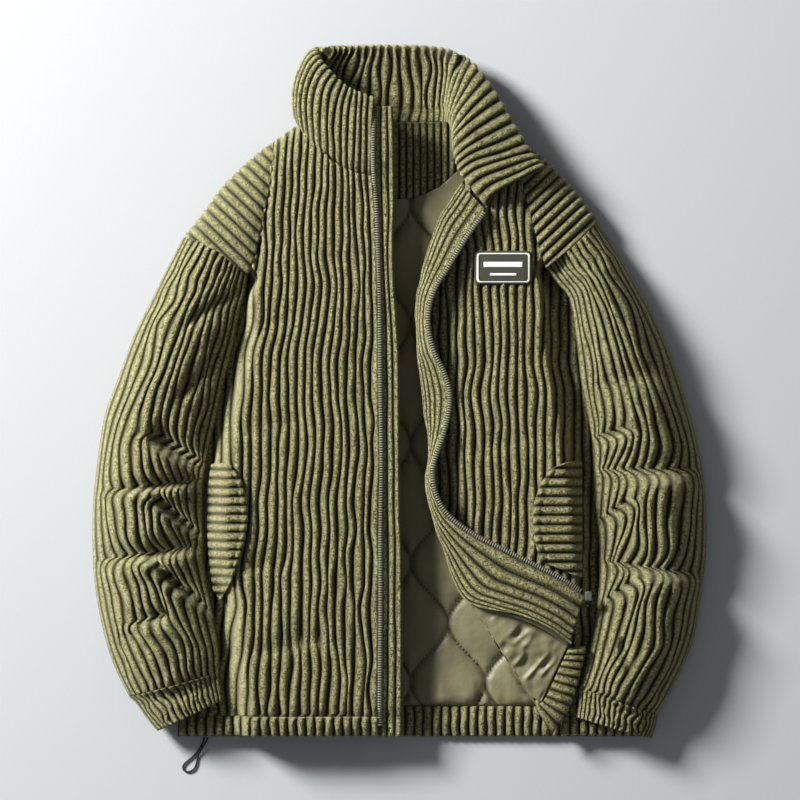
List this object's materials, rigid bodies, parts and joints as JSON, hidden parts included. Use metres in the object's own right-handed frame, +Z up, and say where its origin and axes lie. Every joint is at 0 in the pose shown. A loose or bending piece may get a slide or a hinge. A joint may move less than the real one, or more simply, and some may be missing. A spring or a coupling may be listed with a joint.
{
  "type": "corduroy jacket",
  "caption": "Padded wide-wale corduroy jacket with stand collar and open zip front, laid flat on its back with its left front edge turned outwards.",
  "frame": {"origin": "centre of the jacket's footprint on the surface that it lies on", "axes": "+X towards the wearer's left sleeve, +Y towards the collar, +Z up out of the laid jacket's front"},
  "size_m": [0.6926, 0.8187, 0.0698],
  "materials": {
    "corduroy": "wide-wale cotton corduroy, olive, soft napped pile",
    "satin_lining": "olive satin lining, quilted",
    "zip_coil": "olive coil zip on a woven tape",
    "slider_metal": "bright nickel-plated zip slider",
    "badge_rubber": "moulded olive rubber with a pale raised border",
    "elastic_cord": "black braided elastic"
  },
  "bodies": {
    "garment": {"front_right": "corduroy", "front_left": "corduroy", "yoke_right": "corduroy", "yoke_left": "corduroy", "back": "corduroy", "lining_back": "satin_lining", "neck_facing": "corduroy", "hem_back": "corduroy", "hem_right": "corduroy", "hem_left": "corduroy", "wind_flap": "corduroy", "facing_left": "corduroy", "lining_left": "satin_lining", "hem_turned": "corduroy", "collar": "corduroy", "sleeve_right": "corduroy", "sleeve_left": "corduroy", "cuff_right": "corduroy", "cuff_left": "corduroy", "pocket_right": "corduroy", "pocket_left": "corduroy", "zip_right": "zip_coil", "zip_left": "zip_coil", "badge": "badge_rubber", "zip_slider": "slider_metal", "drawstring": "elastic_cord"},
    "tab": {"pull_tab": "slider_metal"}
  },
  "joints": [
    {"name": "pull_tab_swing", "type": "hinge", "parent": "garment", "child": "tab", "pos_m": [0.21189, -0.2269, 0.05039], "axis": [-1, 0, 0], "range_deg": [0, 50]}
  ]
}
